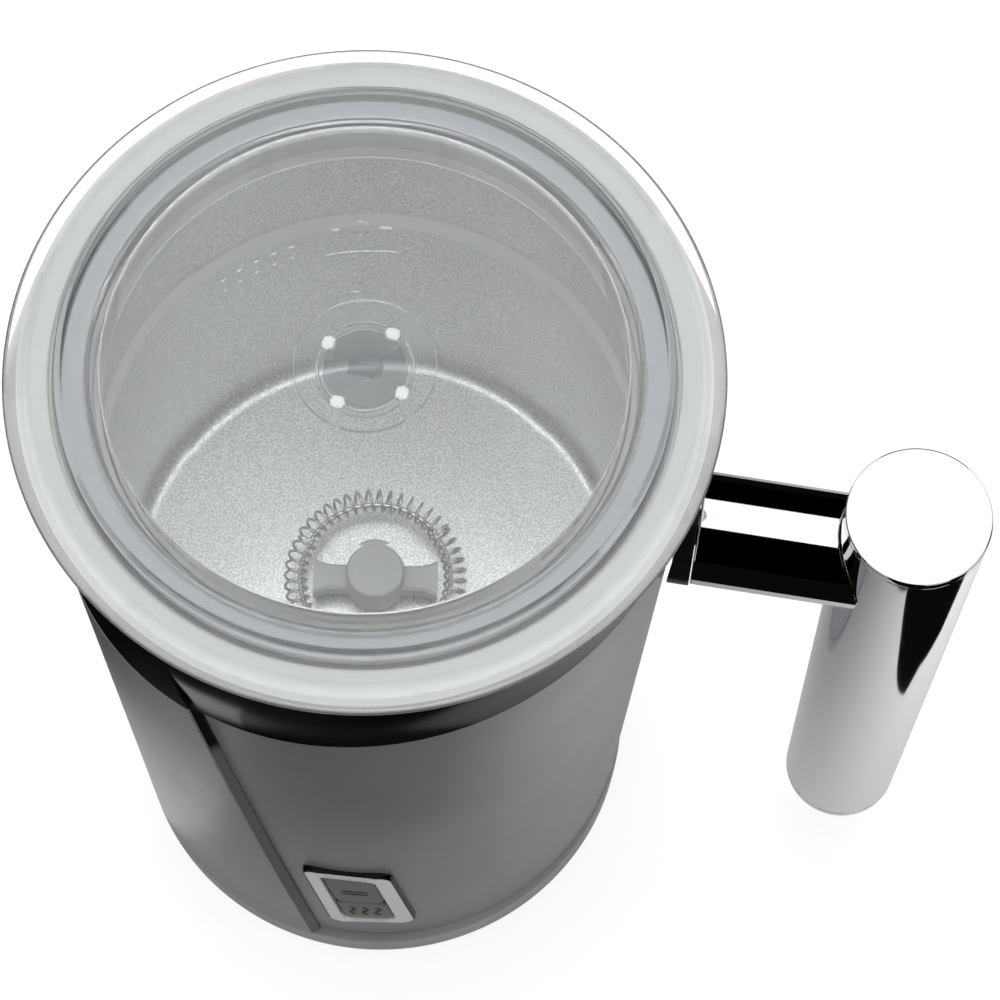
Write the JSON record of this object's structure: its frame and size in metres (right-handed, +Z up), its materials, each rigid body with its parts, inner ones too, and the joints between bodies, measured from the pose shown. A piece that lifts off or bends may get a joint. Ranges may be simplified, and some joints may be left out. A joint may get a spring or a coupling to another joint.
{
  "type": "milk frother",
  "caption": "Electric milk frother jug: tapered steel body, clear lid, magnetic coil whisk, two push buttons and an upright side handle.",
  "frame": {"origin": "bottom centre of the whole object's box, on the surface it stands on", "axes": "+Z up, +X towards the handle, -Y the side with the buttons"},
  "size_m": [0.154, 0.11, 0.1724],
  "materials": {
    "sleeve_steel": "satin brushed",
    "mirror_chrome": "polished mirror",
    "pot_steel": "fine matt blasted",
    "collar_black": "high gloss",
    "plastic_black": "matt moulded",
    "foot_grey": "satin moulded",
    "button_grey": "satin moulded",
    "bezel_chrome": "polished plated",
    "clear_plastic": "clear polished",
    "silicone": "translucent matt",
    "copper": "plain",
    "board": "solder mask",
    "magnet": "nickel plated",
    "zinc": "plain"
  },
  "bodies": {
    "jug": {"outer_sleeve": "sleeve_steel", "seam_strip": "collar_black", "top_collar": "collar_black", "inner_pot": "pot_steel", "pot_gasket": "silicone", "whisk_spindle": "mirror_chrome", "heating_ring": "zinc", "temperature_sensor": "copper", "thermal_cutout": "plastic_black", "motor_bracket": "zinc", "motor_case": "zinc", "button_bezel": "bezel_chrome", "switch_board": "board", "upper_switch": "plastic_black", "lower_switch": "plastic_black", "control_board": "board", "foot_ring": "foot_grey", "base_plate": "plastic_black", "power_connector": "plastic_black", "base_screw_1": "zinc", "base_screw_2": "zinc", "base_screw_3": "zinc", "arm_ferrule": "collar_black", "handle_arm": "mirror_chrome", "arm_stud": "zinc", "arm_nut": "zinc", "handle_grip": "mirror_chrome", "handle_top_cap": "mirror_chrome", "handle_bottom_cap": "mirror_chrome"},
    "drive": {"motor_shaft": "mirror_chrome", "magnet_carrier": "plastic_black", "drive_magnet_1": "magnet", "drive_magnet_2": "magnet"},
    "whisk": {"whisk_hub": "plastic_black", "whisk_ring": "mirror_chrome", "whisk_coil": "mirror_chrome", "whisk_magnet_1": "magnet", "whisk_magnet_2": "magnet"},
    "lid_unit": {"lid": "clear_plastic", "lid_seal": "silicone", "whisk_clip": "clear_plastic"},
    "upper_key": {"upper_button": "button_grey"},
    "lower_key": {"lower_button": "button_grey"}
  },
  "joints": [
    {"name": "drive_spin", "type": "hinge", "parent": "jug", "child": "drive", "pos_m": [-0.02202, 0, 0.066], "axis": [0, 0, 1], "continuous": true},
    {"name": "whisk_spin", "type": "hinge", "parent": "jug", "child": "whisk", "pos_m": [-0.02202, 0, 0.0802], "axis": [0, 0, 1], "continuous": true},
    {"name": "lid_lift", "type": "slide", "parent": "jug", "child": "lid_unit", "axis": [0, 0, 1], "range_m": [0, 0.12]},
    {"name": "upper_press", "type": "slide", "parent": "jug", "child": "upper_key", "axis": [-0.0941, 0.9956, 0], "range_m": [0, 0.0008], "stiffness_N_per_m": 300},
    {"name": "lower_press", "type": "slide", "parent": "jug", "child": "lower_key", "axis": [-0.0941, 0.9956, 0], "range_m": [0, 0.0008], "stiffness_N_per_m": 300}
  ],
  "couplings": [
    {"joint": "whisk_spin", "follows": "drive_spin", "ratio": 1}
  ]
}
